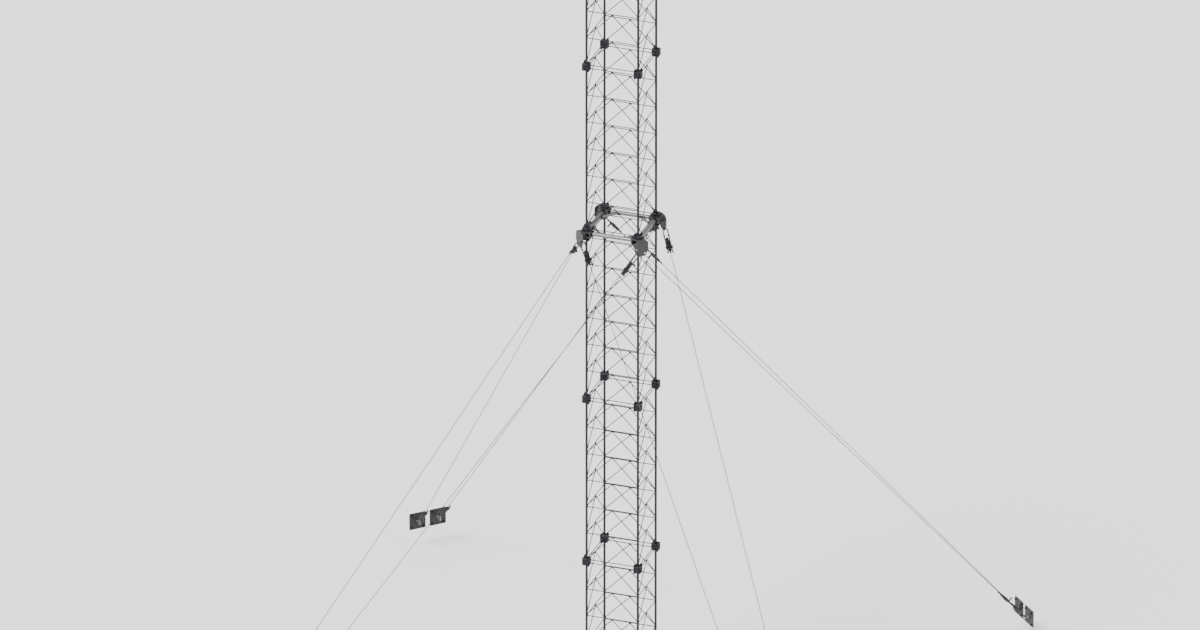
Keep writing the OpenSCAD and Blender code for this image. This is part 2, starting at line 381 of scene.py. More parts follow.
def painted(name, dark, light, gloss, edge_share, dust, streak, chip_size=160.0, shine=0.3):
    """Painted or blackened steel, in shades from dark to light, with bare steel where the
    coat is gone. gloss is the roughness of the coat's smooth and of its dull places,
    edge_share, dust and streak say how much of each shows, chip_size is how fine the
    chips are, and shine is the strength of the coat's reflections."""
    finish, tree, shader, weather, grain = new_finish(name)
    wear = node(tree, "ShaderNodeGroup", {"Chip size": chip_size, "Edge share": edge_share},
                node_tree=EDGE_WEAR)
    coat = blended(tree, grain["Shade"], dark, light)
    coat = soiled(tree, coat, weather["Streaks"], streak, DUST_COLOUR)
    coat = soiled(tree, coat, weather["Dust"], dust, DUST_COLOUR)
    coat = blended(tree, wear.outputs["Bare"], coat, BARE_STEEL)
    rough = maths(tree, "ADD", ramp(tree, grain["Gloss"], 0.0, 1.0, *gloss),
                  maths(tree, "MULTIPLY", weather["Dust"], 0.25))
    relief = maths(tree, "SUBTRACT", maths(tree, "MULTIPLY", grain["Relief"], 0.25),
                   wear.outputs["Bare"])
    lay_on(tree, shader, coat, rough, relief, 0.5, 0.0004)
    tree.links.new(wear.outputs["Bare"], shader.inputs["Metallic"])
    shader.inputs["Specular IOR Level"].default_value = shine
    return finish


GREY_PAINT = painted("Dark grey plate paint", (0.030, 0.030, 0.031), (0.042, 0.042, 0.043),
                     (0.42, 0.58), 0.5, 0.3, 0.12)
BOLT_BLACK = painted("Blackened bolts", (0.0025, 0.0025, 0.0028), (0.006, 0.006, 0.0065),
                     (0.34, 0.5), 0.2, 0.06, 0.03, 420.0, 0.16)

base_half, _, base_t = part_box("base_plate")[1]
base_side = 2 * base_half
BASE_CHAMFER = 30 * MM
BASE_HOLE_D = 22 * MM
BASE_HOLES = 8
PLATE_EDGE = 1.2 * MM
base_hole_r = base_half - 10 * MM

hole_turns = [(k + 0.5) * 360 / BASE_HOLES for k in range(BASE_HOLES)]
hole_spots = [(base_hole_r * math.cos(math.radians(t)), base_hole_r * math.sin(math.radians(t)))
              for t in hole_turns]
base_holes = [circle(x, y, BASE_HOLE_D / 2, 28) for x, y in hole_spots]
base_plate = Piece()
base_plate.add(plate(cut_square(base_side, BASE_CHAMFER), base_holes, base_t, PLATE_EDGE),
               at(0, 0, 0))
base_plate = base_plate.make("base_plate_steel", GREY_PAINT, "plate_steel")
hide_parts("base_plate")

NUT_BITE = 1 * MM
STUD_LIFT = 0.2 * MM
HOLD_DOWN = {"diameter": 20 * MM, "pitch": 2.5 * MM, "rise": 34 * MM, "across": 30 * MM,
             "nut_h": 16 * MM, "washer_d": 37 * MM, "washer_t": 3 * MM}


def stud(depth, turn, diameter, pitch, rise, across, nut_h, washer_d, washer_t):
    """Stud through a plate from z 0 to its depth, with a washer and a nut on top. It starts
    just off the face, and the nut's bore is a little smaller than the thread."""
    made = Piece()
    made.add(washer(washer_d, diameter, washer_t), at(0, 0, depth))
    made.add(hexagon(across, nut_h, diameter - NUT_BITE), at(0, 0, depth + washer_t, turn))
    made.add(threaded(diameter, depth + rise, pitch), at(0, 0, STUD_LIFT))
    return made.shape()


studs = Piece()
for turn, (x, y) in zip(hole_turns, hole_spots):
    studs.add(stud(base_t, turn * 1.7, **HOLD_DOWN), at(x, y, 0))
studs.make("holding_down_studs", BOLT_BLACK, "black_steel")

# ------------
# Base shoes. Four stub tubes welded upright on the base plate, each under the
# same pair of square end plates as a leg. Dark slate paint over the welds.

SLATE_PAINT = painted("Slate mast paint", (0.0100, 0.0100, 0.0135), (0.0165, 0.0165, 0.0215),
                      (0.36, 0.52), 0.35, 0.22, 0.12, shine=0.22)
WELD_PAINT = painted("Slate paint on welds", (0.0065, 0.0065, 0.0090), (0.0115, 0.0115, 0.0150),
                     (0.45, 0.65), 0.1, 0.2, 0.08, shine=0.2)

PLATE_SIDE = 90 * MM
PLATE_CHAMFER = 12 * MM
PLATE_LEVELS = ((4 * MM, 15 * MM), (26 * MM, 38 * MM))
BOLT_OFF = 79 * MM / 2 * math.sqrt(0.5)
BOLT_HOLE_D = 18 * MM
LEG_D = 26.9 * MM
LEG_WALL = 3.2 * MM
SHOE_D = 42.4 * MM
SHOE_WALL = 4 * MM
FITTING_EDGE = 0.9 * MM
FITTING_WELD = 2.6 * MM
SHOE_WELD = 3.6 * MM

legs_low, legs_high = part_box("section_1_legs")
half = legs_high.x - PLATE_SIDE / 2
foot_z, section_h = legs_low.z, legs_high.z - legs_low.z
QUARTERS = [spun(90 * k, "Z") for k in range(4)]


def legs(z, upside_down=False):
    """Places at the four legs at one height, pointing up or down."""
    flip = Matrix.Scale(-1, 4, (0, 0, 1)) @ Matrix.Scale(-1, 4, (1, 1, 0)) if upside_down \
        else Matrix.Identity(4)
    return [quarter @ Matrix.Translation((-half, -half, z)) @ flip for quarter in QUARTERS]


def pipe(diameter, wall, length, sides=32):
    """Hollow tube from z 0 up, with its rims broken."""
    outline = rimmed(diameter / 2 - wall, diameter / 2, length, 0.25 * wall)
    return turned(outline, sides, loop=True, worn=(1, 3))


def bead(path, size, closed=True):
    """Weld bead along a path: a round ridge with the ripples that the weld pool leaves."""
    ripple, sides = 4 * MM, 6
    points = [Vector(p) for p in path]
    around = points + points[:1] if closed else points
    length = sum((b - a).length for a, b in zip(around, around[1:]))
    steps = max(6, int(length / ripple * 2))
    rings = []
    edges = [(a, b, (b - a).length) for a, b in zip(around, around[1:])]
    middle = sum(points, Vector()) / len(points)
    for k in range(steps if closed else steps + 1):
        want = length * k / steps
        travelled, edge = 0.0, 0
        while edge < len(edges) - 1 and travelled + edges[edge][2] < want:
            travelled += edges[edge][2]
            edge += 1
        a, b, run = edges[edge]
        here = a.lerp(b, (want - travelled) / run)
        ahead = (b - a).normalized()
        side = ahead.cross(Vector((0, 0, 1)))
        if side.length < 0.1:
            side = ahead.cross(here - middle)
        side.normalize()
        up = side.cross(ahead)
        r = size * (1.0 + (0.16 if k % 2 else -0.12))
        rings.append([here + (side * math.cos(t) + up * math.sin(t)) * r
                      for t in (math.tau * n / sides for n in range(sides))])
    if closed:
        return skin(rings, loop=True)
    return skin([[points[0]]] + rings + [[points[-1]]])


def round_path(radius, z):
    """Circle round Z at one height."""
    angles = [math.tau * k / 48 for k in range(48)]
    return [(radius * math.cos(t), radius * math.sin(t), z) for t in angles]


BOLT_HOLES = [circle(way * BOLT_OFF, -way * BOLT_OFF, BOLT_HOLE_D / 2, 16) for way in (1, -1)]


def end_plates(pipe_d):
    """The two square plates of a leg's end, as shapes at their heights."""
    holes = [circle(0, 0, pipe_d / 2 - 0.5 * MM)] + BOLT_HOLES
    outline = cut_square(PLATE_SIDE, PLATE_CHAMFER)
    return [(plate(outline, holes, top - low, FITTING_EDGE), low) for low, top in PLATE_LEVELS]


def add_fitting(steel, welds, places, pipe_d):
    """A leg end's plates and the welds that hold them, at each place."""
    for shape, low in end_plates(pipe_d):
        steel.add(shape, *[place @ at(0, 0, low) for place in places])
    ring_r = pipe_d / 2 + 1.2 * MM
    for z in (PLATE_LEVELS[0][0] - 0.6 * MM, PLATE_LEVELS[1][1] + 1.2 * MM):
        welds.add(bead(round_path(ring_r, z), FITTING_WELD), *places)


shoes, shoe_welds = Piece(), Piece()
shoes.add(pipe(SHOE_D, SHOE_WALL, foot_z - base_t), *legs(base_t))
add_fitting(shoes, shoe_welds, legs(foot_z, True), SHOE_D)
shoe_welds.add(bead(round_path(SHOE_D / 2 + 1.5 * MM, base_t + 1.5 * MM), SHOE_WELD), *legs(0))
shoes = shoes.make("base_shoe_tubes", SLATE_PAINT, "leg_steel")
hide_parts("base_shoes")
shoe_welds.make("base_shoe_welds", WELD_PAINT, "leg_steel")

# ------------
# Section legs. Each section has four drawn steel tubes, and two square plates are
# welded round each end of a tube. A section is welded up whole and then painted
# dark slate, so the paint runs over the welds.

SECTIONS = range(1, 6)
section_foot = {s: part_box(f"section_{s}_legs")[0].z for s in SECTIONS}

for s in SECTIONS:
    tubes, welds = Piece(), Piece()
    foot, head = section_foot[s], section_foot[s] + section_h
    tubes.add(pipe(LEG_D, LEG_WALL, section_h), *legs(foot))
    add_fitting(tubes, welds, legs(foot), LEG_D)
    add_fitting(tubes, welds, legs(head, True), LEG_D)
    tubes = tubes.make(f"section_{s}_leg_tubes", SLATE_PAINT, "leg_steel")
    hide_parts(f"section_{s}_legs")
    welds.make(f"section_{s}_leg_welds", WELD_PAINT, "leg_steel")

# ------------
# Bracing. Each face is a ladder of level round bars with an inverted V of bars
# in each bay. The bars butt against the leg tubes, with a fillet weld round
# each end and a blob of weld where a V meets the middle of the bar above.

ROD_D = 10 * MM
BAYS = 6
FIRST_ROW = 20.5 * MM
FOOT_RISE = 13 * MM
APEX_DROP = 9 * MM
BITE = 1 * MM
FACES = ("front", "right", "back", "left")
row_step = (section_h - 2 * FIRST_ROW) / BAYS
dice = random.Random(7)


def pointing(a, b, across=Vector((0, 1, 0))):
    """Place whose Z runs from a to b and whose X is as near as it can be to across."""
    ahead = (Vector(b) - Vector(a)).normalized()
    side = (Vector(across) - ahead * ahead.dot(Vector(across))).normalized()
    third = ahead.cross(side)
    place = Matrix((side, third, ahead)).transposed().to_4x4()
    place.translation = Vector(a)
    return place


def rod(length):
    """Round bar from z 0 up."""
    r = ROD_D / 2
    return turned([(0, 0), (r, 0), (r, length), (0, length)], 12)


def fillet():
    """Uneven fillet weld round the end of a bar, which stands on z 0."""
    r = ROD_D / 2
    outline = [(r + 4.2 * MM, -2.5 * MM), (r + 3.8 * MM, 0.6 * MM), (r + 1.9 * MM, 2.6 * MM),
               (r + 0.6 * MM, 5.2 * MM), (r - 0.4 * MM, 6.4 * MM)]
    points, faces, rub = turned(outline, 12)
    swell = np.array([dice.uniform(0.94, 1.07) for _ in points])
    points[:, 0] *= swell
    points[:, 1] *= swell
    return points, faces, rub


def blob():
    """Lump of weld under a level bar, flattened across the face."""
    arc = [(math.sin(t), -math.cos(t)) for t in (math.pi * k / 7 for k in range(8))]
    points, faces, rub = turned([(r if 0 < k < 7 else 0, z) for k, (r, z) in enumerate(arc)], 12)
    sizes = np.array([17 * MM, 7.2 * MM, 8 * MM]) * dice.uniform(0.92, 1.08)
    return points * sizes * (1 + 0.05 * np.sin(points * 9)), faces, rub


FILLETS = [fillet() for _ in range(4)]
BLOBS = [blob() for _ in range(4)]
leg_r = LEG_D / 2

for s in SECTIONS:
    for turn, face in zip(QUARTERS, FACES):
        rods, welds = Piece(), Piece()
        side = turn @ Matrix.Translation((0, -half, section_foot[s]))

        def join(a, b, ends):
            """One bar from a to b; at the ends that meet a leg it stops just inside the tube."""
            a, b = Vector((a[0], 0, a[1])), Vector((b[0], 0, b[1]))
            ahead = (b - a).normalized()
            cut = leg_r / abs(ahead.x)
            start = a + ahead * (cut - BITE) if 0 in ends else a
            stop = b - ahead * (cut - BITE) if 1 in ends else b
            rods.add(rod((stop - start).length), side @ pointing(start, stop))
            if 0 in ends:
                welds.add(dice.choice(FILLETS), side @ pointing(start + ahead * BITE, stop))
            if 1 in ends:
                welds.add(dice.choice(FILLETS), side @ pointing(stop - ahead * BITE, start))

        for k in range(BAYS + 1):
            row = FIRST_ROW + k * row_step
            join((-half, row), (half, row), (0, 1))
            if k < BAYS:
                peak = row + row_step - APEX_DROP
                for way in (-1, 1):
                    join((way * half, row + FOOT_RISE), (0, peak), (0,))
                welds.add(dice.choice(BLOBS), side @ at(0, 0, peak + BITE))
        rods = rods.make(f"section_{s}_{face}_rods", SLATE_PAINT, "bracing_steel")
        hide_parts(f"section_{s}_{face}_bracing")
        welds.make(f"section_{s}_{face}_welds", WELD_PAINT, "bracing_steel")

# ------------
# Joint bolts. Two M16 bolts stand beside each leg at every joint, one on each
# side of the corner, with a washer under the head and under the nut. They are
# blackened high-tensile bolts with a few threads showing past the nut.

BOLT_D = 16 * MM
BOLT_ACROSS = 24 * MM
HEAD_H = 10 * MM
NUT_H = 14 * MM
WASHER_D = 30 * MM
WASHER_T = 3 * MM
SHANK_R = 7.4 * MM
SHANK_BITE = 2 * MM
THREAD_D = 15.6 * MM
THREAD_PITCH = 2 * MM


def bolt(grip, tail=9 * MM):
    """Bolt with its nut on top, round a grip that runs from z 0 down to -grip. The tail
    is what shows past the nut."""
    made = Piece()
    under = -grip - WASHER_T
    made.add(washer(WASHER_D, BOLT_D, WASHER_T), at(0, 0, 0), at(0, 0, under))
    made.add(hexagon(BOLT_ACROSS, NUT_H, BOLT_D - NUT_BITE),
             at(0, 0, WASHER_T, dice.uniform(0, 60)))
    made.add(hexagon(BOLT_ACROSS, HEAD_H, 0), at(0, 0, under - HEAD_H, dice.uniform(0, 60)))
    shank = grip + 2 * WASHER_T + SHANK_BITE
    made.add(turned([(0, 0), (SHANK_R, 0), (SHANK_R, shank), (0, shank)], 16),
             at(0, 0, under - SHANK_BITE))
    made.add(threaded(THREAD_D, NUT_H + tail, THREAD_PITCH), at(0, 0, WASHER_T))
    return made.shape()


def beside_legs(z):
    """Places of the two bolts beside each leg at one height."""
    return [leg @ at(way * BOLT_OFF, -way * BOLT_OFF, 0) for leg in legs(z) for way in (-1, 1)]


frame_low, frame_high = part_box("corner_brackets")
BRACKET_T = 8 * MM
fitting_top = PLATE_LEVELS[1][1]
joint_bolts = Piece()
for z in (foot_z, section_foot[2], section_foot[3], section_foot[5]):
    for spot in beside_legs(z + fitting_top):
        joint_bolts.add(bolt(2 * fitting_top), spot)
for spot in beside_legs(frame_low.z + BRACKET_T):
    joint_bolts.add(bolt(fitting_top + BRACKET_T, 4 * MM), spot)
for spot in beside_legs(frame_high.z + fitting_top):
    joint_bolts.add(bolt(fitting_top + BRACKET_T), spot)
joint_bolts.make("joint_bolts", BOLT_BLACK, "black_steel")

# ------------
# Guy frame tubes and discs. Four level galvanised tubes tie the mast's corners
# together under the guys. A turned disc closes each end and takes four small
# bolts into the corner bracket.

RING_D = 48.3 * MM
RING_WALL = 3.2 * MM
DISC_D = 76 * MM
DISC_T = 10 * MM
DISC_RIM = 1.5 * MM
DISC_BOLT_R = 31 * MM
DISC_BOLT_D = 8 * MM
DISC_BOLT_ACROSS = 13 * MM
DISC_BOLT_HEAD = 5.5 * MM
DISC_WASHER_D = 15 * MM
DISC_WASHER_T = 1.6 * MM
RING_WELD = 3 * MM
disc_low, disc_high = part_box("guy_frame_discs")
ring_z = (disc_low.z + disc_high.z) / 2
along_x = spun(90, "Y")
disc_reach = half - 60 * MM
FACE_MIDDLES = [quarter @ Matrix.Translation((0, -half, ring_z)) @ along_x for quarter in QUARTERS]


def zinc(name, dark, light, gloss, spangle, streak):
    """Galvanised steel: crystals of zinc that catch the light each in its own way. spangle
    is how fine the crystals are; the rest is as in paint."""
    finish, tree, shader, weather, grain = new_finish(name)
    place = node(tree, "ShaderNodeTexCoord").outputs["Object"]
    crystals = node(tree, "ShaderNodeTexVoronoi", {"Scale": spangle, "Randomness": 1.0},
                    {"Vector": place}).outputs["Color"]
    tone = node(tree, "ShaderNodeSeparateColor", {}, {0: crystals}).outputs[0]
    mixed = maths(tree, "ADD", maths(tree, "MULTIPLY", tone, 0.6),
                  maths(tree, "MULTIPLY", grain["Shade"], 0.4))
    coat = blended(tree, mixed, dark, light)
    coat = soiled(tree, coat, weather["Streaks"], streak, tuple(0.55 * c for c in dark))
    coat = soiled(tree, coat, weather["Dust"], 0.2, DUST_COLOUR)
    rough = maths(tree, "ADD", ramp(tree, tone, 0.0, 1.0, *gloss),
                  maths(tree, "MULTIPLY", weather["Dust"], 0.2))
    relief = maths(tree, "ADD", maths(tree, "MULTIPLY", grain["Relief"], 0.5), tone)
    lay_on(tree, shader, coat, rough, relief, 0.35, 0.0002)
    shader.inputs["Metallic"].default_value = 0.7
    return finish


BRIGHT_ZINC = zinc("Galvanised tube", (0.155, 0.155, 0.151), (0.215, 0.215, 0.21),
                   (0.30, 0.44), 130.0, 0.18)
BLACK_PAINT = painted("Black fitting paint", (0.003, 0.003, 0.0033), (0.007, 0.007, 0.0075),
                      (0.36, 0.54), 0.3, 0.1, 0.04, 260.0, 0.2)

tube_reach = disc_reach - DISC_T
ring_tubes, ring_welds, discs, disc_bolts = Piece(), Piece(), Piece(), Piece()
disc = turned(rimmed(0, DISC_D / 2, DISC_T, DISC_RIM), 48, worn=(1, 3))
disc_head = hexagon(DISC_BOLT_ACROSS, DISC_BOLT_HEAD, 0)
disc_washer = washer(DISC_WASHER_D, DISC_BOLT_D, DISC_WASHER_T)
disc_spots = [(DISC_BOLT_R * math.cos(t), DISC_BOLT_R * math.sin(t))
              for t in (math.pi * (k + 0.5) / 2 for k in range(4))]
for middle in FACE_MIDDLES:
    ring_tubes.add(pipe(RING_D, RING_WALL, 2 * tube_reach, 48), middle @ at(0, 0, -tube_reach))
    for way in (0, 180):
        end = middle @ spun(way, "X") @ at(0, 0, tube_reach)
        discs.add(disc, end)
        ring_welds.add(bead(round_path(RING_D / 2 + 1.2 * MM, -1.2 * MM), RING_WELD), end)
        for x, y in disc_spots:
            disc_bolts.add(disc_washer, end @ at(x, y, 0) @ spun(180, "X"))
            disc_bolts.add(disc_head, end @ at(x, y, -DISC_WASHER_T, dice.uniform(0, 60))
                           @ spun(180, "X"))
ring_tubes = ring_tubes.make("guy_frame_level_tubes", BRIGHT_ZINC, "bright_steel")
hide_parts("guy_frame_tubes")
ring_welds.make("guy_frame_tube_welds", BLACK_PAINT, "black_steel")
discs = discs.make("guy_frame_end_discs", BLACK_PAINT, "black_steel")
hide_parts("guy_frame_discs")
disc_bolts.make("guy_frame_disc_bolts", BOLT_BLACK, "black_steel")

# ------------
# Knees. Short galvanised tubes brace the frame's corners. Each end is sawn at a
# slant to sit flat on a black saddle and welded to it, and the saddle lies
# against the level tube.

KNEE_D = 26.9 * MM
KNEE_WALL = 2.6 * MM
KNEE_REACH = 180 * MM
KNEE_WELD = 2.6 * MM
SADDLE_L, SADDLE_W, SADDLE_T = 60 * MM, 36 * MM, 8 * MM
near = RING_D / 2 + SADDLE_T


def mitred_pipe(diameter, wall, end_a, end_b):
    """Tube between two points, each end cut square to a direction of its own, and the
    outer rims of both ends."""
    sides = 32
    ahead = (end_b[0] - end_a[0]).normalized()
    place = pointing(end_a[0], end_b[0], Vector((0, 0, 1)))
    rings = []
    for radius, (point, normal) in zip((diameter / 2 - wall, diameter / 2, diameter / 2,
                                        diameter / 2 - wall), (end_a, end_a, end_b, end_b)):
        ring = []
        for t in (math.tau * k / sides for k in range(sides)):
            offset = place.to_3x3() @ Vector((radius * math.cos(t), radius * math.sin(t), 0))
            ring.append(point + offset - ahead * (offset.dot(normal) / ahead.dot(normal)))
        rings.append(ring)
    return skin(rings, loop=True), rings[1], rings[2]


corner = Vector((-half, -half, ring_z))
knee_a = corner + Vector((KNEE_REACH - near, near, 0))
knee_b = corner + Vector((near, KNEE_REACH - near, 0))
knee_shape, rim_a, rim_b = mitred_pipe(KNEE_D, KNEE_WALL, (knee_a, Vector((0, 1, 0))),
                                       (knee_b, Vector((1, 0, 0))))
knees, knee_welds, saddles = Piece(), Piece(), Piece()
knees.add(knee_shape, *QUARTERS)
for rim_points in (rim_a, rim_b):
    knee_welds.add(bead(rim_points, KNEE_WELD), *QUARTERS)
pad_x, pad_y = SADDLE_L / 2, SADDLE_W / 2
pad = plate([(-pad_x, -pad_y), (pad_x, -pad_y), (pad_x, pad_y), (-pad_x, pad_y)], [],
            SADDLE_T, PLATE_EDGE)
saddle_along = KNEE_REACH - RING_D / 2 - SADDLE_T / 2
on_front = Matrix.Translation(corner + Vector((saddle_along, RING_D / 2, 0))) @ spun(-90, "X")
on_side = Matrix.Translation(corner + Vector((RING_D / 2, saddle_along, 0))) \
    @ spun(90, "Z") @ spun(90, "X")
saddles.add(pad, *[quarter @ spot for quarter in QUARTERS for spot in (on_front, on_side)])
knees = knees.make("guy_frame_knee_tubes", BRIGHT_ZINC, "bright_steel")
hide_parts("guy_frame_knees")
knee_welds.make("guy_frame_knee_welds", BLACK_PAINT, "black_steel")
saddles = saddles.make("knee_saddle_pads", BLACK_PAINT, "black_steel")
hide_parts("knee_saddles")

# ------------
# Corner brackets. Welded boxes of 8 and 10 mm plate between the end plates of
# the third and the fourth section: a floor and a lid, two walls that take the
# level tubes' discs, and two ribs that carry the guy plate.

BRACKET_SIDE = 60 * MM
BRACKET_WALL = 10 * MM
BRACKET_EDGE = 1 * MM
BRACKET_WELD = 2.2 * MM
RIB_T = 8 * MM
RIB_OFF = 30 * MM
RIB_START = 22 * MM
TONGUE_W = 90 * MM
GUY_PLATE_OUT = 85 * MM
GUY_PLATE_T = 12 * MM
frame_h = frame_high.z - frame_low.z
tongue_end = GUY_PLATE_OUT - GUY_PLATE_T / 2

# The lid's outline, anticlockwise: a square whose outer corner runs out as a tongue.
out_45 = Vector((-1, -1)).normalized()
side_45 = Vector((1, -1)).normalized()
tongue_a = out_45 * tongue_end - side_45 * TONGUE_W / 2
tongue_b = out_45 * tongue_end + side_45 * TONGUE_W / 2
shoulder = TONGUE_W / 2 * math.sqrt(2)
lid_outline = [(BRACKET_SIDE, -BRACKET_SIDE), (BRACKET_SIDE, BRACKET_SIDE),
               (-BRACKET_SIDE, BRACKET_SIDE), (-BRACKET_SIDE, shoulder - BRACKET_SIDE),
               tuple(tongue_a), tuple(tongue_b), (shoulder - BRACKET_SIDE, -BRACKET_SIDE)]
lid = plate(lid_outline, BOLT_HOLES, BRACKET_T, BRACKET_EDGE)


def slab(x0, x1, y0, y1, z0, z1):
    """Rectangular bar of steel with broken edges, between two corners."""
    shape = plate([(x0, y0), (x1, y0), (x1, y1), (x0, y1)], [], z1 - z0, BRACKET_EDGE)
    shape[0][:, 2] += z0
    return shape


brackets, bracket_welds = Piece(), Piece()
inner_z = (BRACKET_T, frame_h - BRACKET_T)
b, w = BRACKET_SIDE, BRACKET_WALL
floor_places = legs(frame_low.z)
brackets.add(lid, *floor_places)
brackets.add(lid, *legs(frame_high.z - BRACKET_T))
brackets.add(slab(b - w, b, -b, b, *inner_z), *floor_places)
brackets.add(slab(-b, b - w, b - w, b, *inner_z), *floor_places)
outward = spun(225, "Z")
rib_places = [spot @ outward for spot in floor_places]
weld_off = 1 * MM
weld_levels = (inner_z[0] + weld_off, inner_z[1] - weld_off)
for way in (-1, 1):
    middle = way * RIB_OFF
    brackets.add(slab(RIB_START, tongue_end, middle - RIB_T / 2, middle + RIB_T / 2, *inner_z),
                 *rib_places)
    for z in weld_levels:
        for off in (RIB_OFF - RIB_T / 2 - weld_off, RIB_OFF + RIB_T / 2 + weld_off):
            line = [(RIB_START, way * off, z), (tongue_end, way * off, z)]
            bracket_welds.add(bead(line, BRACKET_WELD, closed=False), *rib_places)
for z in weld_levels:
    for line in ([(b - w - weld_off, -b, z), (b - w - weld_off, b - w, z)],
                 [(-b, b - w - weld_off, z), (b - w, b - w - weld_off, z)]):
        bracket_welds.add(bead(line, BRACKET_WELD, closed=False), *floor_places)
brackets = brackets.make("corner_bracket_boxes", GREY_PAINT, "plate_steel")
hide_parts("corner_brackets")
bracket_welds.make("corner_bracket_welds", GREY_PAINT, "plate_steel")

# ------------
# Guy plates. Flame-cut plates of 12 mm steel across the mast's corners, welded
# to the brackets' ribs and drilled for the clamps' bows, with a spare hole
# beside each hole in use.

GUY_OUTLINE = [(45, 40), (82, 12), (82, -84), (46, -152)]
UPPER_HOLE = (55 * MM, -62 * MM)
LOWER_HOLE = (-42 * MM, -122 * MM)
GUY_HOLE_D = 20 * MM
GUY_WELD = 3 * MM

right_half = [(x * MM, y * MM) for x, y in reversed(GUY_OUTLINE)]
guy_outline = right_half + [(-x, y) for x, y in reversed(right_half)]
guy_holes = [circle(way * x, y, GUY_HOLE_D / 2, 24) for x, y in (UPPER_HOLE, LOWER_HOLE)
             for way in (-1, 1)]
guy_plate = plate(guy_outline, guy_holes, GUY_PLATE_T, PLATE_EDGE)
upright = spun(90, "Z") @ spun(90, "X")
guy_spots = [spot @ outward @ Matrix.Translation((tongue_end, 0, 0)) for spot in legs(ring_z)]
guy_plates, guy_welds = Piece(), Piece()
guy_plates.add(guy_plate, *[spot @ upright for spot in guy_spots])
lid_z = frame_h / 2 + weld_off
for z in (-lid_z, lid_z):
    line = [(-weld_off, -TONGUE_W / 2, z), (-weld_off, TONGUE_W / 2, z)]
    guy_welds.add(bead(line, GUY_WELD, closed=False), *guy_spots)
guy_plates = guy_plates.make("guy_plate_steel", GREY_PAINT, "plate_steel")
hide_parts("guy_plates")
guy_welds.make("guy_plate_welds", GREY_PAINT, "plate_steel")

# ------------
# Anchor plates and eyes. Square plates bolted flat to the walls by four M12
# anchors each. A forged eye stands out of each plate on a collar and takes the
# bow of one clamp; it is left galvanised.

ANCHOR_SIDE = 200 * MM
ANCHOR_T = 12 * MM
ANCHOR_CHAMFER = 6 * MM
ANCHOR_HOLE_R = 103 * MM
ANCHOR_HOLE_D = 14 * MM
EYE_R = 24.5 * MM
EYE_ROD_D = 16 * MM
EYE_OUT = 44 * MM
COLLAR_D = 34 * MM
COLLAR_H = 14 * MM
COLLAR_WELD = 3 * MM
WALL_STUD = {"diameter": 12 * MM, "pitch": 1.75 * MM, "rise": 20 * MM, "across": 18 * MM,
             "nut_h": 10 * MM, "washer_d": 24 * MM, "washer_t": 2.5 * MM}
WALLS = ("front_left", "front_right", "back_right", "back_left")


def out_dir(c):
    """Outward direction of corner or wall c, counted anticlockwise from the front left."""
    t = math.radians(225 + 90 * c)
    return Vector((math.cos(t), math.sin(t), 0))


def side_dir(c):
    """Sideways direction of corner or wall c."""
    return out_dir(c + 1)


# The plates' places follow from the pair of CAD plates on one wall.
wall_low, wall_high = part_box("anchor_plates_front_right")
anchor_z = (wall_low.z + wall_high.z) / 2
plates_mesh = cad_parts["anchor_plates_front_right"].data
wall_reach = max(v.co.dot(out_dir(1)) for v in plates_mesh.vertices)
asides = [v.co.dot(side_dir(1)) for v in plates_mesh.vertices]
anchor_pitch = max(asides) - min(asides) - ANCHOR_SIDE

DARK_PLATE = painted("Dark wall plate paint", (0.017, 0.017, 0.018), (0.026, 0.026, 0.0275),
                     (0.42, 0.6), 0.45, 0.25, 0.12, shine=0.25)
hole_off = ANCHOR_HOLE_R * math.sqrt(0.5)
hole_middles = [(x, y) for x in (-hole_off, hole_off) for y in (-hole_off, hole_off)]
anchor_holes = [circle(x, y, ANCHOR_HOLE_D / 2) for x, y in hole_middles]
anchor_plate = plate(cut_square(ANCHOR_SIDE, ANCHOR_CHAMFER), anchor_holes, ANCHOR_T, PLATE_EDGE)
collar_r, collar_foot, collar_top = COLLAR_D / 2, ANCHOR_T - 1 * MM, ANCHOR_T + COLLAR_H
collar = turned([(0, collar_foot), (collar_r, collar_foot), (collar_r, collar_top - 3 * MM),
                 (collar_r - 1 * MM, collar_top - 1 * MM), (collar_r - 3 * MM, collar_top),
                 (0, collar_top)], 32, worn=(2, 3))
eye = turned([(EYE_R + EYE_ROD_D / 2 * math.cos(t), EYE_ROD_D / 2 * math.sin(t))
              for t in (math.tau * k / 20 for k in range(20))], 48, loop=True)

for wall, label in enumerate(WALLS):
    plates, eyes, anchors = Piece(), Piece(), Piece()
    for way in (-1, 1):
        spot = Matrix.Translation(out_dir(wall) * wall_reach
                                  + side_dir(wall) * (way * anchor_pitch / 2)
                                  + Vector((0, 0, anchor_z)))
        spot = spot @ spun(225 + 90 * wall, "Z") @ spun(-90, "Y")
        plates.add(anchor_plate, spot)
        eyes.add(collar, spot)
        eyes.add(eye, spot @ at(0, 0, ANCHOR_T + EYE_OUT) @ spun(90, "X"))
        plates.add(bead(round_path(collar_r + 1 * MM, ANCHOR_T + 1 * MM), COLLAR_WELD), spot)
        for x, y in hole_middles:
            anchors.add(stud(ANCHOR_T, dice.uniform(0, 60), **WALL_STUD), spot @ at(x, y, 0))
    plates = plates.make(f"wall_plates_{label}", DARK_PLATE, "plate_steel")
    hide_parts(f"anchor_plates_{label}")
    eyes.make(f"wall_eyes_{label}", BRIGHT_ZINC, "bright_steel")
    anchors.make(f"wall_anchor_bolts_{label}", BOLT_BLACK, "black_steel")

# ------------
# Guy clamps. Forged, blackened end fittings: a U-bolt passes through the plate
# or the eye and on through a crosshead, whose wedge socket grips the wire. Nuts
# lock the U-bolt's legs, and a tail at one side takes a spanner.

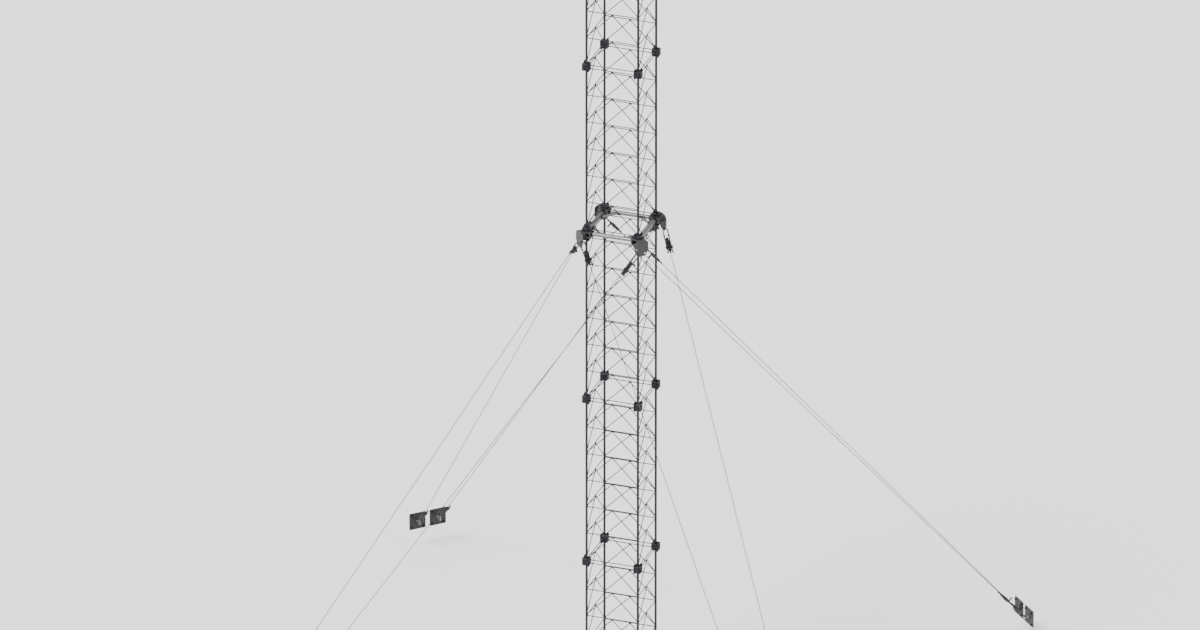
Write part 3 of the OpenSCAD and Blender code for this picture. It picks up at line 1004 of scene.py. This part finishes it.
U_ROD_D = 14 * MM
U_GAP = 56 * MM
U_LEN = 285 * MM
U_NUT_ACROSS = 19 * MM
U_NUT_H = 14 * MM
LOCK_NUT_Z = 80 * MM
SOCKET = [(0, 107), (11, 107), (13, 110), (16, 128), (19, 152), (20, 168), (19.4, 182), (17, 210),
          (14, 235), (10.5, 262), (8, 280), (7, 285), (0, 285)]
CROSS_W = 86 * MM
CROSS_T = 26 * MM
CROSS_Z = (203 * MM, 235 * MM)
TAIL_Z = 120 * MM
TAIL_D = 18 * MM
TAIL_L = 61 * MM
CROSS_CUT = 8 * MM
CROSS_EDGE = 3 * MM
LOOP_D = 7 * MM
LOOP_Z = 240 * MM
LOOP_REACH = (17 * MM, 34 * MM)

FORGED_BLACK = painted("Forged black clamp", (0.0025, 0.0025, 0.0028), (0.007, 0.007, 0.0076),
                       (0.38, 0.58), 0.3, 0.08, 0.04, 240.0, 0.18)
ROD_GREY = zinc("Zinc plated clamp rods", (0.030, 0.030, 0.032), (0.055, 0.055, 0.058),
                (0.30, 0.45), 400.0, 0.1)


def swept(path, radius, sides):
    """Round bar along a path of points that lies in one plane with the local Y across it."""
    rings = []
    for k, here in enumerate(path):
        before, after = path[max(k - 1, 0)], path[min(k + 1, len(path) - 1)]
        ahead = (after - before).normalized()
        side = Vector((0, 1, 0))
        up = ahead.cross(side)
        rings.append([here + (up * math.cos(t) + side * math.sin(t)) * radius
                      for t in (-math.tau * n / sides for n in range(sides))])
    return skin([[path[0]]] + rings + [[path[-1]]])


bow_steps = [math.pi * k / 16 for k in range(17)]
bow_r = U_GAP / 2
bow = [Vector((bow_r * math.cos(t), 0, bow_r - bow_r * math.sin(t))) for t in bow_steps]
u_path = [Vector((bow_r, 0, U_LEN))] + bow + [Vector((-bow_r, 0, U_LEN))]
u_bolt = swept(u_path, U_ROD_D / 2, 16)
socket = turned([(r * MM, z * MM) for r, z in SOCKET], 28, worn=(1,))
cross_x, cross_y = CROSS_W / 2, CROSS_T / 2
cross_right = [(cross_x - CROSS_CUT, -cross_y), (cross_x, -cross_y + CROSS_CUT),
               (cross_x, cross_y - CROSS_CUT), (cross_x - CROSS_CUT, cross_y)]
cross_left = [(-x, -y) for x, y in cross_right]
crosshead = plate(cross_right + cross_left, [], CROSS_Z[1] - CROSS_Z[0], CROSS_EDGE)
tail_r = TAIL_D / 2
tail = turned([(0, 0), (tail_r - 1 * MM, 0), (tail_r - 1 * MM, TAIL_L - 16 * MM),
               (tail_r, TAIL_L - 14 * MM), (tail_r, TAIL_L - 2 * MM), (tail_r - 2 * MM, TAIL_L),
               (0, TAIL_L)], 20, worn=(4,))
loop_path = [Vector((LOOP_REACH[0] * math.cos(t), 0, LOOP_Z + LOOP_REACH[1] * math.sin(t)))
             for t in (math.pi * k / 12 for k in range(13))]
thimble = swept(loop_path, LOOP_D / 2, 10)


def add_clamp(body, rods, place, tail_way):
    """One clamp, drawn from the middle of its bow along the wire, with its tail to one side."""
    rods.add(u_bolt, place)
    rods.add(thimble, place)
    body.add(socket, place)
    body.add(crosshead, place @ at(0, 0, CROSS_Z[0]))
    body.add(tail, place @ at(0, 0, TAIL_Z) @ spun(-90 * tail_way, "X"))
    nut = hexagon(U_NUT_ACROSS, U_NUT_H, U_ROD_D - NUT_BITE)
    for way in (-1, 1):
        for z in (LOCK_NUT_Z, U_LEN - U_NUT_H - 1 * MM):
            body.add(nut, place @ at(way * bow_r, 0, z, dice.uniform(0, 60)))


def guy_top(c, turn):
    """Where a corner's wire starts on its guy plate; turn is 1 towards the next wall, or -1."""
    x, y = UPPER_HOLE if turn > 0 else LOWER_HOLE
    plate_middle = out_dir(c) * (half * math.sqrt(2) + GUY_PLATE_OUT)
    return plate_middle + side_dir(c) * x + Vector((0, 0, ring_z + y))


def guy_foot(c, turn):
    """Where that wire's lower clamp pulls on its eye."""
    eye_middle = out_dir(c + turn) * (wall_reach - ANCHOR_T - EYE_OUT) \
        - side_dir(c + turn) * (turn * anchor_pitch / 2) + Vector((0, 0, anchor_z))
    slack = 0.3 * MM
    shift = EYE_R - (EYE_ROD_D + U_ROD_D) / 2 - slack
    return eye_middle + (guy_top(c, turn) - eye_middle).normalized() * shift


for c, label in enumerate(WALLS):
    body, rods = Piece(), Piece()
    for turn in (-1, 1):
        top, foot = guy_top(c, turn), guy_foot(c, turn)
        add_clamp(body, rods, pointing(top, foot, out_dir(c)), turn)
        add_clamp(body, rods, pointing(foot, top, out_dir(c)), turn)
    body = body.make(f"clamp_bodies_{label}", FORGED_BLACK, "black_steel")
    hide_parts(f"guy_clamps_{label}")
    rods.make(f"clamp_rods_{label}", ROD_GREY, "black_steel")

# ------------
# Stay wires. Galvanised strand of six wires laid round a core, 8 mm across,
# drawn taut from clamp to clamp. The lay makes one turn in 80 mm.

WIRE_D = 8 * MM
LAY = 80 * MM
STRANDS = 6
RINGS_PER_LAY = 10
GRIPPED = 2 * MM
WIRE_ZINC = zinc("Galvanised wire rope", (0.050, 0.050, 0.053), (0.085, 0.085, 0.09),
                 (0.36, 0.5), 900.0, 0.2)


def strand(length):
    """Laid wire from z 0 up: a six-lobed section that turns with the lay."""
    strand_r, lay_r = WIRE_D / 6, WIRE_D / 3
    section = []
    for n in range(STRANDS):
        for part in (-30, -10, 10):
            t = math.radians(part)
            bulge = math.sqrt(max(strand_r ** 2 - (lay_r * math.sin(t)) ** 2, 0))
            section.append((lay_r * math.cos(t) + bulge, math.tau * n / STRANDS + t))
    reach, angle = np.array(section).T
    count = int(length / LAY * RINGS_PER_LAY)
    rings = []
    for k in range(count + 1):
        z = length * k / count
        twist = angle + math.tau * z / LAY
        rings.append(np.stack([reach * np.cos(twist), reach * np.sin(twist),
                               np.full(len(reach), z)], 1))
    return skin([[(0, 0, 0)]] + rings + [[(0, 0, length)]])


for c, label in enumerate(WALLS):
    wires = Piece()
    for turn in (-1, 1):
        top, foot = guy_top(c, turn), guy_foot(c, turn)
        run = (foot - top).length - 2 * U_LEN + 2 * GRIPPED
        wires.add(strand(run), pointing(top, foot, out_dir(c)) @ at(0, 0, U_LEN - GRIPPED))
    wires = wires.make(f"stay_wires_{label}", WIRE_ZINC, "wire_rope")
    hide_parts(f"guy_wires_{label}")

# ------------
# Studio. A pale matt floor under the base plate, a high soft sun from the front
# left, a weaker one low in front, a pale sky, and a long lens that sees the mast
# almost without perspective.

FLOOR_REACH = 200.0
FLOOR_Z = -0.002
floor_mesh = bpy.data.meshes.new("studio_floor")
floor_mesh.from_pydata([(x * FLOOR_REACH, y * FLOOR_REACH, FLOOR_Z)
                        for x, y in ((-1, -1), (1, -1), (1, 1), (-1, 1))], [], [(0, 1, 2, 3)])
studio_floor = placed("studio_floor", floor_mesh)
pale = bpy.data.materials.new("Pale floor")
pale.use_nodes = True
floor_shader = pale.node_tree.nodes["Principled BSDF"]
floor_shader.inputs["Base Color"].default_value = (0.88, 0.88, 0.88, 1.0)
floor_shader.inputs["Roughness"].default_value = 0.9
floor_mesh.materials.append(pale)


def sun(name, direction, strength, softness):
    """Soft sun that shines from a direction."""
    lamp = bpy.data.lights.new(name, "SUN")
    lamp.energy = strength
    lamp.angle = math.radians(softness)
    made = placed(name, lamp)
    made.rotation_mode = "QUATERNION"
    made.rotation_quaternion = Vector(direction).to_track_quat("Z", "Y")


sun("key_sun", (-0.30, -0.52, 0.80), 4.2, 24)
sun("front_fill", (0.25, -0.9, 0.35), 0.8, 40)
sky = bpy.data.worlds.new("Pale sky")
bpy.context.scene.world = sky
sky.use_nodes = True
backdrop = sky.node_tree.nodes["Background"]
backdrop.inputs["Color"].default_value = (0.95, 0.97, 1.0, 1.0)
backdrop.inputs["Strength"].default_value = 1.2

VIEW_AZIMUTH = 19.25
VIEW_ELEVATION = 26.15
VIEW_WIDTH = 13.22
VIEW_HEIGHT = 5.087
VIEW_ASIDE = -0.234
LENS = 880.0
SENSOR = 36.0
right = spun(VIEW_AZIMUTH, "Z") @ Vector((1, 0, 0))
back = spun(VIEW_AZIMUTH, "Z") @ spun(-VIEW_ELEVATION, "X") @ Vector((0, -1, 0))
distance = VIEW_WIDTH * LENS / SENSOR
lens = bpy.data.cameras.new("camera")
lens.lens, lens.sensor_width = LENS, SENSOR
lens.clip_start, lens.clip_end = 1.0, 1000.0
camera = placed("camera", lens)
camera.location = Vector((0, 0, VIEW_HEIGHT)) + right * VIEW_ASIDE + back * distance
camera.rotation_mode = "QUATERNION"
camera.rotation_quaternion = back.to_track_quat("Z", "Y")
bpy.context.scene.camera = camera
